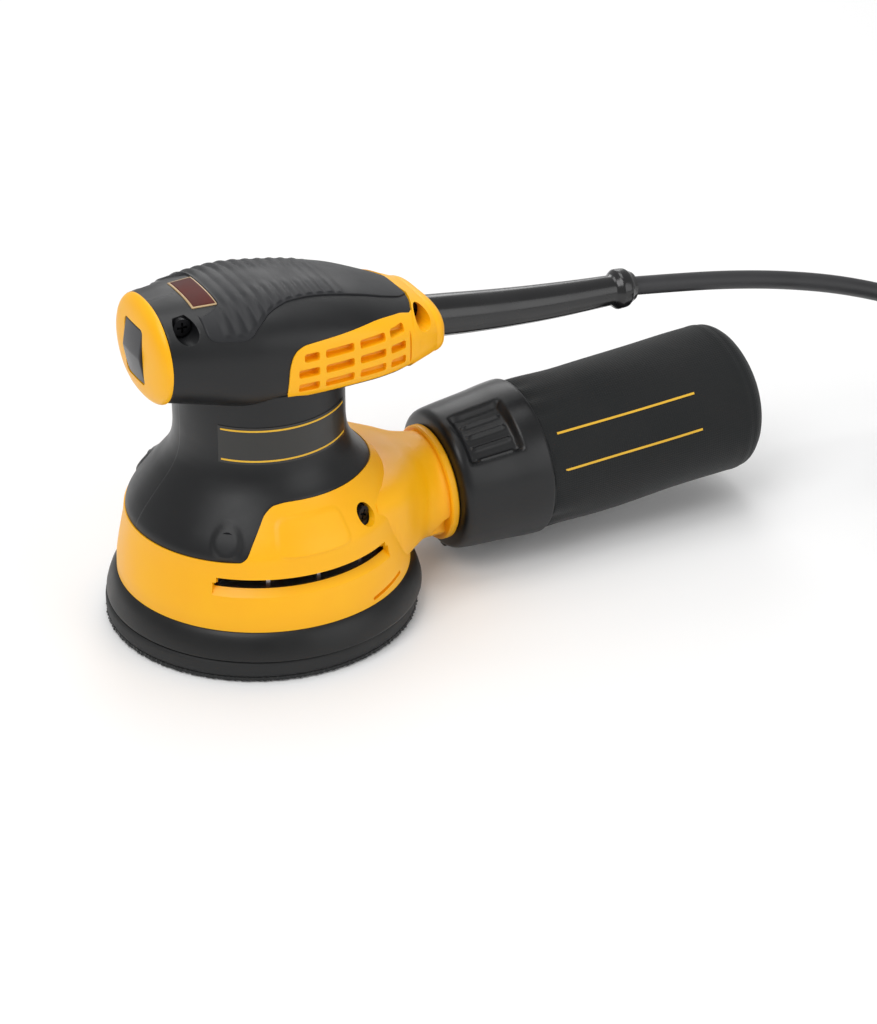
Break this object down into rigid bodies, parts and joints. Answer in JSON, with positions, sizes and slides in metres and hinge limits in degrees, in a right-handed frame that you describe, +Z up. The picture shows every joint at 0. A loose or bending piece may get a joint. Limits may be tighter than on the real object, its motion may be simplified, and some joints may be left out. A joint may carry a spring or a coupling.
{
  "type": "orbital sander",
  "caption": "Palm-grip random orbital sander with a round pad, a skirt with a dust port, a slide-on filter bag, a rocker switch and a mains cord put away in a coil.",
  "frame": {"origin": "on the motor axis in the plane of the sanding face", "axes": "+Z up along the motor axis, +X back towards the cord and the bag, +Y to the right seen from behind the switch; the halves meet on Y = 0"},
  "size_m": [0.4595, 0.2135, 0.1434],
  "materials": {
    "black_nylon": "satin moulded",
    "soft_grip": "matt overmoulded",
    "yellow_nylon": "satin moulded",
    "ring_rubber": "satin",
    "screw_steel": "blackened",
    "label_film": "printed film",
    "core_steel": "laminated",
    "copper": "enamelled wire",
    "carbon": "pressed graphite",
    "brass": "drawn",
    "spring_steel": "bright",
    "switch_plastic": "moulded",
    "capacitor_case": "moulded",
    "wire_pvc": "extruded",
    "boot_rubber": "gloss moulded",
    "cord_rubber": "satin extruded",
    "shaft_steel": "ground",
    "cast_aluminium": "die cast",
    "zinc": "die cast",
    "pad_nylon": "moulded",
    "pad_foam": "skinned foam",
    "hook_fabric": "hooked",
    "collar_nylon": "satin moulded",
    "bag_cloth": "woven",
    "bearing_steel": "ground"
  },
  "bodies": {
    "housing": {"bearing_boot": "ring_rubber", "brake_ring": "ring_rubber", "brush_holders": "brass", "brush_springs": "spring_steel", "capacitor": "capacitor_case", "carbon_brushes": "carbon", "cord": "cord_rubber", "cord_boot": "boot_rubber", "cord_clamp": "switch_plastic", "cord_coil": "cord_rubber", "cord_tail": "cord_rubber", "field_coils": "copper", "front_cap": "yellow_nylon", "housing_left": "black_nylon", "housing_right": "black_nylon", "housing_screws": "screw_steel", "lead_wires": "wire_pvc", "lower_bearing_outer": "bearing_steel", "neck_label": "label_film", "plug_blades": "brass", "plug_body": "boot_rubber", "rear_cap": "yellow_nylon", "skirt": "yellow_nylon", "skirt_screws": "screw_steel", "stator_core": "core_steel", "switch_body": "switch_plastic", "switch_plate": "spring_steel", "top_grip": "soft_grip", "upper_bearing_outer": "bearing_steel"},
    "rotor": {"rotor_shaft": "shaft_steel", "armature_core": "core_steel", "armature_windings": "copper", "commutator": "copper", "fan": "cast_aluminium", "counterweight": "zinc", "lower_bearing_inner": "bearing_steel", "upper_bearing_inner": "bearing_steel", "orbit_bearing_outer": "bearing_steel"},
    "pad": {"orbit_bearing_inner": "bearing_steel", "orbit_spindle": "shaft_steel", "pad_plate": "pad_nylon", "pad_foam": "pad_foam", "hook_face": "hook_fabric", "pad_screws": "screw_steel"},
    "rocker": {"rocker": "switch_plastic"},
    "dust_bag": {"bag_collar": "collar_nylon", "bag_cloth": "bag_cloth", "bag_hoop": "spring_steel", "bag_frame": "spring_steel"}
  },
  "joints": [
    {"name": "motor_spin", "type": "hinge", "parent": "housing", "child": "rotor", "pos_m": [0, 0, 0.05], "axis": [0, 0, 1], "continuous": true},
    {"name": "pad_spin", "type": "hinge", "parent": "rotor", "child": "pad", "pos_m": [-0.0013, 0, 0.02], "axis": [0, 0, 1], "continuous": true},
    {"name": "rocker_press", "type": "hinge", "parent": "housing", "child": "rocker", "pos_m": [-0.0495, 0, 0.122], "axis": [0, 1, 0], "range_deg": [0, 12]},
    {"name": "bag_pull", "type": "slide", "parent": "housing", "child": "dust_bag", "axis": [0.9988, 0, 0.0488], "range_m": [0, 0.05]}
  ]
}
